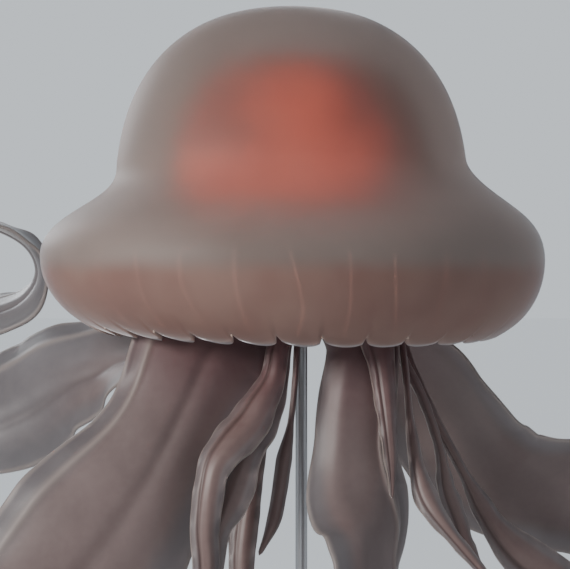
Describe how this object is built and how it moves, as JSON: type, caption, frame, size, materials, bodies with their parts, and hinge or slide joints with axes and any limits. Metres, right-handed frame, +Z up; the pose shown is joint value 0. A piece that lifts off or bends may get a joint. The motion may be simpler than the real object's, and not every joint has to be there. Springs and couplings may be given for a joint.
{
  "type": "giant phantom jellyfish",
  "caption": "Still life-size deep-sea jellyfish with a hat-shaped bell, red stomach and long broad ribbon arms, held on a round display stand.",
  "frame": {"origin": "centre of the stand base's underside, on the floor, under the bell's axis", "axes": "+Z up along the bell's axis; the side of the animal that faces the viewer is towards -Y; +X is the viewer's right"},
  "size_m": [2.1134, 1.3748, 2.955],
  "materials": {
    "bell": "soft milky jelly, satin and slightly translucent",
    "stomach": "soft red-orange tissue, satin",
    "arm": "smooth brown-grey jelly, satin",
    "lip": "smooth pinkish jelly, satin",
    "stand_base": "satin dark grey paint",
    "stand_rod": "satin steel"
  },
  "bodies": {
    "root": {"arm_back_left_1": "arm", "arm_back_left_2": "arm", "arm_back_left_3": "arm", "arm_back_left_4": "arm", "arm_back_left_5": "arm", "arm_back_left_6": "arm", "arm_back_right_1": "arm", "arm_back_right_2": "arm", "arm_back_right_3": "arm", "arm_back_right_4": "arm", "arm_front_left_1": "arm", "arm_front_left_2": "arm", "arm_front_left_3": "arm", "arm_front_left_4": "arm", "arm_front_right_1": "arm", "arm_front_right_2": "arm", "arm_front_right_3": "arm", "arm_front_right_4": "arm", "bell_brim": "bell", "bell_crown": "bell", "lip_back_left_inner": "lip", "lip_back_left_outer": "lip", "lip_back_right_inner": "lip", "lip_back_right_outer": "lip", "lip_front_left_inner": "lip", "lip_front_left_leaf": "lip", "lip_front_left_outer": "lip", "lip_front_left_strip": "lip", "lip_front_right_outer": "lip", "lip_front_right_strand": "lip", "mouth_disc": "arm", "stand_base": "stand_base", "stand_collar": "stand_rod", "stand_pad": "stand_rod", "stand_rod": "stand_rod", "stomach": "stomach"}
  },
  "joints": []
}
